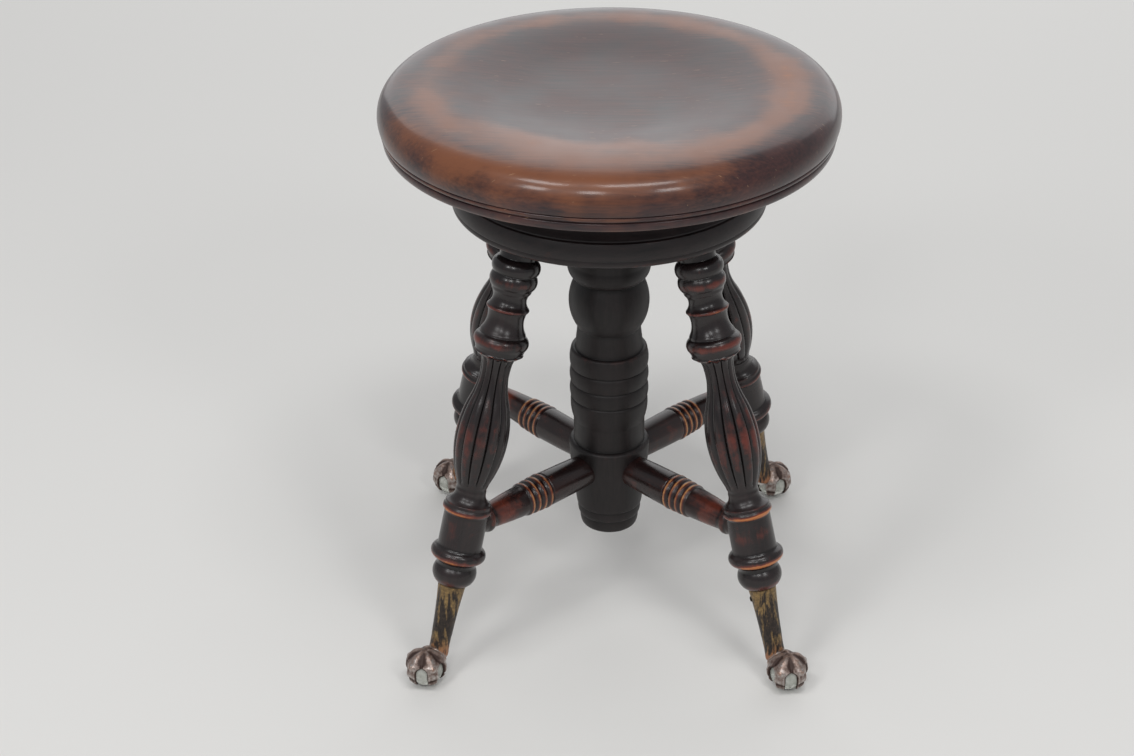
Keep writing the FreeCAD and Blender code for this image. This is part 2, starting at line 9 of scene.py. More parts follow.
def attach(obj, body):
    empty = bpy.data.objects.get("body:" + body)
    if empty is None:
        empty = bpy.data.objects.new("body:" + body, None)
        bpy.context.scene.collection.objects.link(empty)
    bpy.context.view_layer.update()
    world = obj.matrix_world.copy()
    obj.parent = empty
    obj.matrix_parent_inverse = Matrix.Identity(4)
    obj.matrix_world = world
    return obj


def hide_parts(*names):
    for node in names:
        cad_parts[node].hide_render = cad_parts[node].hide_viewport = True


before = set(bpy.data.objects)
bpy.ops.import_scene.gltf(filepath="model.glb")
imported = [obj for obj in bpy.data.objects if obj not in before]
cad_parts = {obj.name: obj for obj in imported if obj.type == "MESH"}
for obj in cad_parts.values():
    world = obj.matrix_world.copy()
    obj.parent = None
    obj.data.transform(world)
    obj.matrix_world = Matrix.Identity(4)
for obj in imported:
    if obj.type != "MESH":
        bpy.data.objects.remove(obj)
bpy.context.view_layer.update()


# Seat
# One round board of birch, turned on a faceplate: dished top, bullnose edge and two fine beads
# under it. Stained, varnished, and rubbed back to the brown wood where people slide on and off.

MM = 0.001
SEAT_TOP = 458.5
SEAT_UNDERSIDE = 416.9
SEAT_RADIUS = 177.8
NOSE_RADIUS = 21.0
NOSE_TURN_BACK = 23
# The dish and its crown, as radius and height out from the middle
DISH_TURNING = [(1, 449.5), (28, 449.5), (50, 450.1), (72, 451.4), (118, 457.1), (138, 458.4),
                (150, 458.1)]
NOSE_SHOULDER = (164.0, 456.4)
NOSE_TOP_ANGLE = 35
SEAT_LOWER_RADIUS = 173.0
SEAT_BEAD = 5.2
SEAT_QUIRK = 1.5
BOSS_HOLE_RADIUS = 16.1
BOSS_HOLE_DEPTH = 12.1
# Where clothes rub it, as radius and width: round the crown, the dish's front side, the front edge
CROWN_RUB = (140, 17)
DISH_RUB = (114, 15)
EDGE_RUB = (168, 13)


def follow(points, end, bulge=0.0, step=1.0):
    """Runs an outline on to its next point, straight or along an arc that stands out by bulge."""
    start = points[-1]
    chord = Vector(end) - Vector(start)
    count = max(1, ceil(chord.length / step))
    along = chord.normalized()
    outward = Vector((-along.y, along.x))
    half = 2 * atan(2 * bulge / chord.length)
    for i in range(1, count + 1):
        run = chord.length * i / count
        rise = 0.0
        if bulge:
            radius = chord.length / (2 * sin(half))
            angle = (2 * i / count - 1) * half
            run = chord.length / 2 + radius * sin(angle)
            rise = radius * (cos(angle) - cos(half))
        points.append(tuple(Vector(start) + along * run + outward * rise))


def blurred(values, reach):
    """Values evened out along the outline over a reach, with both ends held."""
    width = int(3 * reach) + 1
    kernel = np.exp(-0.5 * (np.arange(-width, width + 1) / reach) ** 2)
    kernel /= kernel.sum()
    padded = np.concatenate([2 * values[0] - values[width:0:-1], values,
                             2 * values[-1] - values[-2:-width - 2:-1]])
    return np.convolve(padded, kernel, "valid")


def worn_outline(points, soft=0.35, spread=2.4, bend=7.0, gap=5.0):
    """Rounds an outline's edges as handling does, and notes how far each place stands proud.
    Returns rows of radius, height and proudness, close together only where the outline bends."""
    line = np.array(points)
    run = np.concatenate([[0], np.cumsum(np.hypot(*np.diff(line, axis=0).T))])
    step = 0.25
    places = np.linspace(0, run[-1], int(run[-1] / step) + 2)
    fine = np.column_stack([np.interp(places, run, line[:, k]) for k in (0, 1)])
    edge = np.column_stack([blurred(fine[:, k], soft / step) for k in (0, 1)])
    broad = np.column_stack([blurred(fine[:, k], spread / step) for k in (0, 1)])
    way = np.gradient(edge, axis=0)
    way /= np.hypot(way[:, 0], way[:, 1])[:, None]
    proud = (edge[:, 0] - broad[:, 0]) * -way[:, 1] + (edge[:, 1] - broad[:, 1]) * way[:, 0]
    heading = np.degrees(np.unwrap(np.arctan2(way[:, 1], way[:, 0])))
    keep = [0]
    turned = travelled = 0.0
    for i in range(1, len(edge) - 1):
        turned += abs(heading[i] - heading[i - 1])
        travelled += step
        if turned >= bend or travelled >= gap:
            keep.append(i)
            turned = travelled = 0.0
    keep.append(len(edge) - 1)
    return np.column_stack([edge[keep], proud[keep]])


def set_attribute(mesh, name, values):
    """Stores one number at each point of a mesh for its material to read."""
    layer = mesh.attributes.new(name, "FLOAT", "POINT")
    layer.data.foreach_set("value", np.asarray(values, dtype=np.float32).ravel())


def lathe_piece(name, rows, columns, seed, reshape=None, rub=None):
    """Turns worn outline rows about Z into a closed mesh. Sizes come in as millimetres.
    reshape gives the radii of a carved row and its proudness; rub tells how hard it is rubbed."""
    angles = np.arange(columns) * 2 * pi / columns
    radius = np.repeat(rows[:, 0][:, None], columns, 1)
    height = np.repeat(rows[:, 1][:, None], columns, 1)
    proud = np.repeat(rows[:, 2][:, None], columns, 1)
    if reshape:
        radius, proud = reshape(radius, height, proud, angles[None, :])
    points = np.stack([radius * np.cos(angles), radius * np.sin(angles), height], -1) * MM
    quads = []
    for i in range(len(rows) - 1):
        here = i * columns
        below = here + columns
        for j in range(columns):
            k = (j + 1) % columns
            quads.append((here + j, below + j, below + k, here + k))
    last = (len(rows) - 1) * columns
    quads.append(tuple(range(columns)))
    quads.append(tuple(last + j for j in reversed(range(columns))))
    mesh = bpy.data.meshes.new(name)
    mesh.from_pydata([tuple(p) for p in points.reshape(-1, 3)], [], quads)
    mesh.shade_smooth()
    mesh.set_sharp_from_angle(angle=radians(50))
    rubbed = rub(radius, height, angles[None, :]) if rub else np.zeros_like(radius)
    set_attribute(mesh, "proud", proud)
    set_attribute(mesh, "rub", rubbed)
    set_attribute(mesh, "seed", np.full(radius.size, seed))
    piece = bpy.data.objects.new(name, mesh)
    bpy.context.scene.collection.objects.link(piece)
    return piece


def nose_point(angle):
    """Point on the seat's round edge, so many degrees above its widest line."""
    reach = SEAT_RADIUS - NOSE_RADIUS + NOSE_RADIUS * cos(radians(angle))
    return reach, SEAT_TOP - NOSE_RADIUS + NOSE_RADIUS * sin(radians(angle))


def near(values, middle, width):
    """Soft hump, one at its middle and falling off over a width."""
    return np.exp(-((values - middle) / width) ** 2)


def seat_rub(radius, height, angle):
    """The stain is rubbed thin in a ring round the dish and most of all over the front edge."""
    front = np.clip(-np.sin(angle + 0.3), 0, 1) ** 2
    ring = (0.38 + 0.14 * np.clip(np.cos(angle), 0, 1)) * near(radius, *CROWN_RUB)
    sliding = (0.38 * near(radius, *DISH_RUB) + 0.46 * near(radius, *EDGE_RUB)) * front
    return (ring + sliding + 0.04) * np.clip((height - SEAT_UNDERSIDE - 5) / 18, 0, 1)


# The dish and its crown are sanded into one another, over about 8 mm
top_radii = np.linspace(1, DISH_TURNING[-1][0], 76)
top_heights = blurred(np.interp(top_radii, *zip(*DISH_TURNING)), 4)
seat_line = list(zip(top_radii, top_heights))
follow(seat_line, NOSE_SHOULDER, 0.31)
follow(seat_line, nose_point(NOSE_TOP_ANGLE), 1.1)
for angle in range(NOSE_TOP_ANGLE - 4, -NOSE_TURN_BACK - 1, -4):
    seat_line.append(nose_point(angle))
nose_end = nose_point(-NOSE_TURN_BACK)
seat_line.append(nose_end)
# Two fine beads follow under the nose, each below a narrow quirk
bead_join = ((nose_end[0] + SEAT_LOWER_RADIUS) / 2, nose_end[1] - SEAT_BEAD)
seat_line.append((nose_end[0] - SEAT_QUIRK, nose_end[1] - 0.5))
follow(seat_line, (nose_end[0] - 0.3, nose_end[1] - 1.4), 0, 0.4)
follow(seat_line, (bead_join[0] - 0.2, bead_join[1] + 0.6), 0.5, 0.6)
seat_line.append((bead_join[0] - 1.6, bead_join[1]))
follow(seat_line, (bead_join[0] - 0.3, bead_join[1] - 1.0), 0, 0.4)
follow(seat_line, (SEAT_LOWER_RADIUS, SEAT_UNDERSIDE), 0.7, 0.6)
follow(seat_line, (BOSS_HOLE_RADIUS, SEAT_UNDERSIDE), 0, 4)
follow(seat_line, (BOSS_HOLE_RADIUS, SEAT_UNDERSIDE + BOSS_HOLE_DEPTH))
follow(seat_line, (1.0, SEAT_UNDERSIDE + BOSS_HOLE_DEPTH))
seat = lathe_piece("seat_board", worn_outline(seat_line, soft=0.3, gap=3.5), 320, 1.0, rub=seat_rub)


def linear(hex_colour):
    """Shader colour for an sRGB hex value."""
    levels = [int(hex_colour[i:i + 2], 16) / 255 for i in (1, 3, 5)]
    return [v / 12.92 if v <= 0.04045 else ((v + 0.055) / 1.055) ** 2.4 for v in levels] + [1.0]


def add_node(tree, kind, settings=None, links=None):
    """Adds a shader node, gives its properties and inputs their settings and links its inputs."""
    node = tree.nodes.new("ShaderNode" + kind)
    for key, value in (settings or {}).items():
        if key == "stops":
            for i, (place, colour) in enumerate(value):
                stop = node.color_ramp.elements[i] if i < 2 else node.color_ramp.elements.new(place)
                stop.position = place
                stop.color = linear(colour)
        elif isinstance(key, str) and hasattr(node, key):
            setattr(node, key, value)
        else:
            node.inputs[key].default_value = value
    for key, source in (links or {}).items():
        tree.links.new(source, node.inputs[key])
    return node


def new_material(name, shader_settings):
    """Starts a material with one principled shader and gives that shader its plain values."""
    material = bpy.data.materials.new(name)
    material.use_nodes = True
    tree = material.node_tree
    shader = tree.nodes["Principled BSDF"]
    for key, value in shader_settings.items():
        shader.inputs[key].default_value = value
    return material, tree, shader


# The amounts of wear over which the stain goes thin, and over which bare wood comes through
WEAR_THIN = (0.78, 1.18)
WEAR_BARE = (1.18, 1.55)
# A cloud of stain is 35 mm across; a scratch is about 12 mm long and just under 1 mm wide
STAIN_CLOUD = 35
SCRATCH = (12, 0.9, 6)
SCRATCH_TURNS = (0.5, 1.9, 2.8)


def stained_wood(name, colours, grain, shader_settings, roughness, turning_lines, fleck=8,
                 scratched=False):
    """Turned wood, stained dark and polished, that has been handled for a century.
    colours run from the stain in the pores over the stained wood and the rubbed stain to bare wood.
    grain is the length of its streaks along X, Y and Z, turning_lines the distance between the
    tool's lines, and fleck the size of a worn patch, all in millimetres."""
    material, tree, shader = new_material(name, shader_settings)
    place = add_node(tree, "TexCoord").outputs["Object"]
    seed = add_node(tree, "Attribute", {"attribute_name": "seed"}).outputs["Fac"]
    proud = add_node(tree, "Attribute", {"attribute_name": "proud"}).outputs["Fac"]
    rubbing = add_node(tree, "Attribute", {"attribute_name": "rub"}).outputs["Fac"]
    streaks_at = add_node(tree, "VectorMath",
                          {"operation": "MULTIPLY", 1: [1 / (g * MM) for g in grain]}, {0: place})
    streaks = add_node(tree, "TexNoise", {"noise_dimensions": "4D", "Scale": 1.0, "Detail": 6.0,
                                          "Roughness": 0.62},
                       {"Vector": streaks_at.outputs[0], "W": seed})
    clouds = add_node(tree, "TexNoise", {"noise_dimensions": "4D", "Scale": 1 / (STAIN_CLOUD * MM),
                                         "Detail": 3.0}, {"Vector": place, "W": seed})
    tone = add_node(tree, "MixRGB", {"Fac": 0.5},
                    {"Color1": streaks.outputs["Fac"], "Color2": clouds.outputs["Fac"]})
    stain = add_node(tree, "ValToRGB", {"stops": [(0.36, colours[0]), (0.66, colours[1])]},
                     {"Fac": tone.outputs[0]})
    # Rubbing goes through the stain in flecks, drawn out along the grain
    flecks = add_node(tree, "TexNoise", {"noise_dimensions": "4D", "Scale": 1 / (fleck * MM),
                                         "Detail": 5.0, "Roughness": 0.5}, {"Vector": place, "W": seed})
    broken = add_node(tree, "MixRGB", {"Fac": 0.45},
                      {"Color1": flecks.outputs["Fac"], "Color2": tone.outputs[0]})
    lifted = add_node(tree, "Math", {"operation": "MULTIPLY_ADD", 1: 0.3}, {0: proud, 2: rubbing})
    wear = add_node(tree, "Math", {"operation": "MULTIPLY_ADD", 1: 1.3},
                    {0: broken.outputs[0], 2: lifted.outputs[0]})
    thin = add_node(tree, "MapRange", {"interpolation_type": "SMOOTHSTEP", "From Min": WEAR_THIN[0],
                                       "From Max": WEAR_THIN[1]}, {"Value": wear.outputs[0]})
    bare = add_node(tree, "MapRange", {"interpolation_type": "SMOOTHSTEP", "From Min": WEAR_BARE[0],
                                       "From Max": WEAR_BARE[1]}, {"Value": wear.outputs[0]})
    rubbed = add_node(tree, "MixRGB", {"Color2": linear(colours[2])},
                      {"Fac": thin.outputs[0], "Color1": stain.outputs[0]})
    opened = add_node(tree, "MixRGB", {"Color2": linear(colours[3])},
                      {"Fac": bare.outputs[0], "Color1": rubbed.outputs[0]})
    # The colour is darkened in the hollows, the more the deeper they are
    hollow = add_node(tree, "MapRange", {"From Min": -0.08, "From Max": -0.6, "To Max": 0.8},
                      {"Value": proud})
    colour = add_node(tree, "MixRGB", {"blend_type": "MULTIPLY", "Color2": linear("#4a4240")},
                      {"Fac": hollow.outputs[0], "Color1": opened.outputs[0]})
    # Fine pale scratches in a few patches and three directions, drawn wider than they are, to show
    patches = add_node(tree, "MapRange", {"From Min": 0.44, "From Max": 0.6},
                       {"Value": clouds.outputs["Fac"]})
    for turn in SCRATCH_TURNS if scratched else ():
        along = add_node(tree, "Mapping", {"Rotation": (0, 0, turn),
                                           "Scale": [1 / (s * MM) for s in SCRATCH]}, {"Vector": place})
        marks = add_node(tree, "TexNoise", {"Scale": 1.0, "Detail": 1.0}, {"Vector": along.outputs[0]})
        sharp = add_node(tree, "MapRange", {"From Min": 0.77, "From Max": 0.8, "To Max": 0.6},
                         {"Value": marks.outputs["Fac"]})
        shown = add_node(tree, "Math", {"operation": "MULTIPLY"},
                         {0: sharp.outputs[0], 1: patches.outputs[0]})
        colour = add_node(tree, "MixRGB", {"Color2": linear("#b3906c")},
                          {"Fac": shown.outputs[0], "Color1": colour.outputs[0]})
    tree.links.new(colour.outputs[0], shader.inputs["Base Color"])
    shine = add_node(tree, "MapRange", {"From Min": 0.3, "From Max": 0.7, "To Min": roughness[0],
                                        "To Max": roughness[1]}, {"Value": clouds.outputs["Fac"]})
    dulled = add_node(tree, "Math", {"operation": "MULTIPLY_ADD", 1: 0.14},
                      {0: bare.outputs[0], 2: shine.outputs[0]})
    tree.links.new(dulled.outputs[0], shader.inputs["Roughness"])
    # The open grain, tool lines left by turning, and dents, each a few tenths of a millimetre deep
    normal = add_node(tree, "Bump", {"Strength": 0.3, "Distance": 0.1 * MM},
                      {"Height": streaks.outputs["Fac"]}).outputs[0]
    if turning_lines:
        apart = add_node(tree, "SeparateXYZ", {}, {0: place})
        lines_at = add_node(tree, "CombineXYZ", {}, {"Z": apart.outputs["Z"]})
        lines = add_node(tree, "TexNoise", {"noise_dimensions": "4D", "Detail": 2.0,
                                            "Scale": 1 / (turning_lines * MM)},
                         {"Vector": lines_at.outputs[0], "W": seed})
        normal = add_node(tree, "Bump", {"Strength": 0.3, "Distance": 0.1 * MM},
                          {"Height": lines.outputs["Fac"], "Normal": normal}).outputs[0]
    normal = add_node(tree, "Bump", {"Strength": 0.3, "Distance": 0.4 * MM},
                      {"Height": flecks.outputs["Fac"], "Normal": normal}).outputs[0]
    tree.links.new(normal, shader.inputs["Normal"])
    return material


# Varnished birch: a clear coat over brown stain gives a soft satin glare, and the rubbed ring
# shows as warm orange-brown wood under it. The grain runs from left to right.
seat_wood = stained_wood("varnished_stained_birch", ["#1d1216", "#472825", "#704229", "#a1602a"],
                         [60, 2.2, 2.2], {"IOR": 1.5, "Specular IOR Level": 0.3, "Coat Weight": 0.4,
                                          "Coat Roughness": 0.14, "Coat IOR": 1.5},
                         [0.3, 0.42], 0, fleck=45, scratched=True)
seat.data.materials.append(seat_wood)
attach(seat, "seat")
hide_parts("seat")


# Apron
# The turned block under the seat that carries the legs and the iron nut: a cove on top, a quirk,
# a round-edged rim and a flat underside. Wood ebonised to a near black and left satin.

APRON_TOP = 408.0
APRON_UNDERSIDE = 361.0
APRON_TOP_RADIUS = 112.0
APRON_QUIRK_HEIGHT = 382.6
APRON_QUIRK_RADIUS = 121.0
APRON_QUIRK = 1.6
APRON_RADIUS = 123.5
APRON_RIM_HEIGHT = 367.0
APRON_FOOT_RADIUS = 120.0
NUT_FLANGE_RADIUS = 38.0
NUT_FLANGE_DEPTH = 5.0
POST_TENON_RADIUS = 24.0

apron_line = [(NUT_FLANGE_RADIUS, APRON_TOP - NUT_FLANGE_DEPTH)]
follow(apron_line, (NUT_FLANGE_RADIUS + 0.1, APRON_TOP))
follow(apron_line, (APRON_TOP_RADIUS, APRON_TOP), 0, 4)
follow(apron_line, (APRON_QUIRK_RADIUS - APRON_QUIRK, APRON_QUIRK_HEIGHT), -3.0)
follow(apron_line, (APRON_QUIRK_RADIUS - APRON_QUIRK + 0.1, APRON_QUIRK_HEIGHT - 0.9), 0, 0.3)
follow(apron_line, (APRON_QUIRK_RADIUS, APRON_QUIRK_HEIGHT - APRON_QUIRK), 0, 0.3)
follow(apron_line, (APRON_RADIUS, APRON_RIM_HEIGHT + 0.7), 1.0)
follow(apron_line, (APRON_RADIUS - 0.8, APRON_RIM_HEIGHT), 0, 0.3)
follow(apron_line, (APRON_FOOT_RADIUS, APRON_UNDERSIDE), 1.6)
follow(apron_line, (POST_TENON_RADIUS, APRON_UNDERSIDE), 0, 4)
apron = lathe_piece("apron_block", worn_outline(apron_line, soft=0.25, gap=4), 256, 2.0)

# Ebonised wood: black stain sunk into the grain, so only worn edges show reddish brown.
# It is waxed rather than varnished, and its highlights are soft and grey.
BLACK_WOOD = ["#110d0e", "#271c1c", "#61291f", "#b8703e"]
apron_wood = stained_wood("ebonised_wood_apron", BLACK_WOOD, [45, 3.0, 3.0],
                          {"IOR": 1.5, "Specular IOR Level": 0.4}, [0.34, 0.46], 1.4)
apron.data.materials.append(apron_wood)
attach(apron, "base")
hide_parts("apron")


# Centre post
# One thick spindle turned between centres: cup, ball, a taper, three V-grooved rings, the band
# that takes the stretchers and a tapered tail. It hides the nut and the screw in its bore.

# Each turning, from the top down, is a length, the radius at its end and how far it bulges
POST_TOP_RADIUS = 30.0
POST_GROOVE = [(0.7, 29.7, 0), (2.0, 31.3, 0.3)]
POST_TURNINGS = [
    (38.0, 31.8, 0), (13.5, 32.6, 0.4), (16.0, 27.0, 3.0), (43.0, 25.4, 6.2), (19.5, 27.6, 0),
    (2.4, 31.0, 1.2), (13.6, 31.3, 0.9), *POST_GROOVE, (11.3, 31.3, 0.8), *POST_GROOVE,
    (11.3, 31.3, 0.8), *POST_GROOVE, (18.3, 29.0, 1.0), (20.4, 29.0, 0), (4.0, 33.0, 1.3),
    (13.0, 32.2, 0), (43.0, 26.9, 0), (1.5, 25.4, 0), (7.5, 25.4, 0.6), (1.6, 23.8, 0),
    (7.7, 23.4, 0.5), (3.0, 20.4, 0.8),
]


def turned_line(top, radius, turnings, step=0.8):
    """Outline of a spindle from its top, one turning after another."""
    points = [(radius, top)]
    height = top
    for length, end_radius, bulge in turnings:
        height -= length
        follow(points, (end_radius, height), bulge, step)
    return points


post_line = turned_line(APRON_UNDERSIDE, POST_TOP_RADIUS, POST_TURNINGS)
follow(post_line, (1.0, post_line[-1][1]), 0, 3)
post = lathe_piece("turned_post", worn_outline(post_line, soft=0.35, gap=3), 192, 3.0)
# The same black stain, out of reach of hands and shoes, so it is duller and hardly worn
post_wood = stained_wood("ebonised_wood_post", ["#100d0d", "#221b1b", "#3f2420", "#8a5634"],
                         [2.5, 2.5, 60], {"IOR": 1.5, "Specular IOR Level": 0.35}, [0.4, 0.52], 1.6)
post.data.materials.append(post_wood)
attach(post, "base")
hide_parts("center_post")


# Legs
# Four splayed legs, each turned and then reeded by hand with a scratch tool: the reeds start in
# scallops under a lip and die out at the lower neck. A tenon holds each one in the apron.

CORNERS = {"back_right": 45, "back_left": 135, "front_left": 225, "front_right": 315}
LEG_CIRCLE = 91.4
LEG_SPLAY = 16.44
LEG_TOP_RADIUS = 14.5
LEG_LENGTH = 291.52
LEG_IN_APRON = 6.0
REED_COUNT = 12
REED_DEPTH = 0.11
REED_INSET = 0.5
REEDS_START = 95.0
REEDS_END = 206.0
SCALLOP = 2.2
# How worn each leg is beside the others
HANDLING = {"back_right": 0.85, "back_left": 0.95, "front_left": 0.68, "front_right": 1.15}
# Where legs are rubbed: how far down, over what width and how hard; the rings come first
LEG_RUBBED = [(227.2, 1.9, 0.95), (267.4, 2.3, 0.9), (85.5, 3, 0.42), (36.5, 3, 0.3),
              (58.6, 1.4, 0.3), (165, 24, 0.26), (243, 14, 0.2), (288, 3, 0.3)]
LEG_TURNINGS = [
    (17.4, LEG_TOP_RADIUS, 0), (12.8, 17.0, 3.2), (11.8, 16.0, 2.2), (2.4, 15.4, 0), (12.6, 16.2, -2.6),
    (2.8, 15.6, 0.9), (17.4, 17.6, -2.2), (2.2, 18.0, 0.2), (10.4, 20.0, 2.6), (4.0, 18.6, 0),
    (0.9, 19.4, 0), (11.0, 12.4, -1.6), (10.0, 12.0, -0.2), (18.0, 15.9, -0.6), (73.32, 12.1, 7.3),
    (3.0, 12.3, -0.3), (10.5, 18.2, -2.2), (2.6, 18.4, 0), (5.2, 18.2, 1.3), (1.2, 17.5, 0),
    (27.0, 17.7, 0), (3.4, 19.6, -0.6), (9.4, 18.4, 3.0), (5.2, 15.7, -0.8), (17.0, 11.0, 4.0),
]


def carve_reeds(radius, height, proud, angle):
    """Cuts the reeds into the turned vase; each starts under a scallop left hanging from the lip."""
    down = -height
    across = np.abs(((angle * REED_COUNT / (2 * pi)) % 1) * 2 - 1)
    drop = REED_DEPTH * radius * (0.5 * across ** 2 + 0.5 * across ** 5)
    scallop = REEDS_START + SCALLOP * (1 - across ** 2)
    enter = np.clip((down - scallop) / 0.9, 0, 1)
    leave = np.clip((REEDS_END + 1.5 * (1 - across ** 2) - down) / 5, 0, 1)
    cut = enter ** 1.5 * (3 - 2 * leave) * leave ** 2
    crest = 0.35 - 1.1 * across ** 3
    # Along each scallop's lower edge the proudness is raised so the lighter worn colour shows as a thin
    # crescent: partly wear of the edge, partly a painted highlight of the lip's rounded edge
    edge = 1.6 * near(down, scallop - 0.4, 0.8)
    step = REED_INSET + 0.7 * near(down, REEDS_START + 2, 5)
    return radius - cut * (step + drop), proud * (1 - cut) + crest * cut + edge * (down < scallop + 0.3)


def leg_rub(radius, height, angle):
    """Hands and shoes rub the legs' outer sides, and the lower edges of the two rings most of all."""
    outside = 0.55 + 0.45 * np.cos(angle)
    return sum(hard * near(-height, down, width) for down, width, hard in LEG_RUBBED) * outside


leg_line = turned_line(LEG_IN_APRON, LEG_TOP_RADIUS, [(LEG_IN_APRON, LEG_TOP_RADIUS, 0)] + LEG_TURNINGS)
leg_rows = worn_outline(leg_line, soft=0.28, spread=2.2, bend=8, gap=0.9)
# The same stain under varnish that is still glossy
leg_wood = stained_wood("ebonised_wood_legs", BLACK_WOOD, [2.0, 2.0, 45], {"IOR": 1.5},
                        [0.2, 0.32], 1.2)
for number, (corner, azimuth) in enumerate(CORNERS.items()):
    leg = lathe_piece("leg_spindle_" + corner, leg_rows, REED_COUNT * 14, 10.0 + number, carve_reeds,
                      lambda *where: leg_rub(*where) * HANDLING[corner])
    leg.matrix_world = (Matrix.Rotation(radians(azimuth), 4, "Z")
                        @ Matrix.Translation((LEG_CIRCLE * MM, 0, APRON_UNDERSIDE * MM))
                        @ Matrix.Rotation(radians(-LEG_SPLAY), 4, "Y"))
    leg.data.materials.append(leg_wood)
    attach(leg, "base")
    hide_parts("leg_" + corner)


# Stretchers
# Four short tapered spindles from the post to the legs, each with a band of four beads and an end
# bead at the leg. Shoes have rubbed the crests of the beads down to the yellow wood.

STRETCHER_HEIGHT_AT_POST = 124.0
STRETCHER_HEIGHT_AT_LEG = 126.9
STRETCHER_START = 22.0
STRETCHER_ROOT_RADIUS = 12.6
STRETCHER_SWELL_RADIUS = 14.2
BAND_START = 74.0
BAND_COUNT = 4
BAND_WIDTH = 6.3
BAND_BULGE = 1.4
BAND_RADIUS = 13.4
BAND_TAPER = 0.3
BAND_STEP = 1.6
STRETCHER_NECK_RADIUS = 9.9
END_BEAD_START = 134.0
END_BEAD_RADIUS = 10.4
STRETCHER_END = 143.5
STRETCHER_IN_LEG = 8.0

bands_end = BAND_START + BAND_COUNT * BAND_WIDTH
stretcher_line = [(STRETCHER_ROOT_RADIUS, -STRETCHER_START)]
follow(stretcher_line, (STRETCHER_SWELL_RADIUS, -BAND_START), 0.3, 2)
for i in range(BAND_COUNT):
    band_radius = BAND_RADIUS - BAND_TAPER * i
    follow(stretcher_line, (band_radius, -BAND_START - BAND_WIDTH * i - 0.5), 0, 0.4)
    follow(stretcher_line, (band_radius, -BAND_START - BAND_WIDTH * (i + 1)), BAND_BULGE, 0.5)
follow(stretcher_line, (STRETCHER_ROOT_RADIUS, -bands_end - BAND_STEP))
follow(stretcher_line, (STRETCHER_NECK_RADIUS, -END_BEAD_START), 0.3, 2)
follow(stretcher_line, (END_BEAD_RADIUS, -STRETCHER_END + 2.5), 1.6, 0.6)
follow(stretcher_line, (END_BEAD_RADIUS, -STRETCHER_END - STRETCHER_IN_LEG))


def stretcher_rub(radius, height, angle):
    """The crests of the beads are rubbed, and a little of the thin end beyond them."""
    out = -height
    turn = (out - BAND_START) / BAND_WIDTH
    crest = near(turn - np.floor(turn), 0.55, 0.16) * ((turn > 0) & (turn < BAND_COUNT))
    return 0.62 * crest + 0.3 * near(out, 122, 12) + 0.1


stretcher_rows = worn_outline(stretcher_line, soft=0.25, spread=1.6, bend=9, gap=3)
# The stretchers' stain is redder than on the legs, and thinner
RED_WOOD = ["#150d0d", "#2e1a18", "#6a3022", "#c08c54"]
stretcher_wood = stained_wood("ebonised_wood_stretchers", RED_WOOD, [2.0, 2.0, 45],
                              {"IOR": 1.5}, [0.22, 0.34], 1.2)
leg_reach = LEG_CIRCLE + (APRON_UNDERSIDE - STRETCHER_HEIGHT_AT_LEG) * tan(radians(LEG_SPLAY))
stretcher_lift = atan((STRETCHER_HEIGHT_AT_LEG - STRETCHER_HEIGHT_AT_POST) / leg_reach)
for number, (corner, azimuth) in enumerate(CORNERS.items()):
    stretcher = lathe_piece("stretcher_spindle_" + corner, stretcher_rows, 96, 20.0 + number,
                            rub=stretcher_rub)
    stretcher.matrix_world = (Matrix.Rotation(radians(azimuth), 4, "Z")
                              @ Matrix.Translation((0, 0, STRETCHER_HEIGHT_AT_POST * MM))
                              @ Matrix.Rotation(radians(-90) - stretcher_lift, 4, "Y"))
    stretcher.data.materials.append(stretcher_wood)
    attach(stretcher, "base")
    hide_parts("stretcher_" + corner)


# Claw feet
# Hollow castings: a tapered ankle that takes the leg's tenon, and five talons that close round a
# glass ball, with an arched window between each two. Plated, then painted gold on the ankle.

BALL_RADIUS = 14.0
BALL_HEIGHT = 13.856
BALL_REACH = 204.633
CLAW_COUNT = 5
CLAW_LIFT = 1.4
CLAW_THICKNESS = 2.0
WINDOW_HALF_WIDTH = 5.0
WINDOW_RISE = 8.0
TALON_LOWEST = -50
TALON_COLUMNS = 20
ANKLE_TOP_RADIUS = 11.1
ANKLE_LOW_RADIUS = 7.5
ANKLE_LENGTH = 62.9
ANKLE_COLUMNS = 48
CASTING_VOXEL = 0.45
# Paint starts 17.2 mm from the ball's middle; the plate is at its mean height at 16.6 mm
PAINT_START = 17.2
PLATE_MEAN = 16.6

leg_place = (Matrix.Translation((LEG_CIRCLE, 0, APRON_UNDERSIDE))
             @ Matrix.Rotation(radians(-LEG_SPLAY), 4, "Y"))
ball_centre = Vector((BALL_REACH, 0, BALL_HEIGHT))


def talon_half_angle(lift):
    """Half of a talon's width as an angle round the ball, which the arched windows leave."""
    height = (BALL_RADIUS + CLAW_THICKNESS) * sin(radians(lift))
    arch_middle = WINDOW_RISE - WINDOW_HALF_WIDTH
    if height >= WINDOW_RISE:
        return 180 / CLAW_COUNT
    half = WINDOW_HALF_WIDTH
    if height > arch_middle:
        half = sqrt(WINDOW_HALF_WIDTH ** 2 - (height - arch_middle) ** 2)
    reach = (BALL_RADIUS + CLAW_THICKNESS) * cos(radians(lift))
    return 180 / CLAW_COUNT - min(34.0, asin(min(1.0, half / reach)) * 180 / pi)


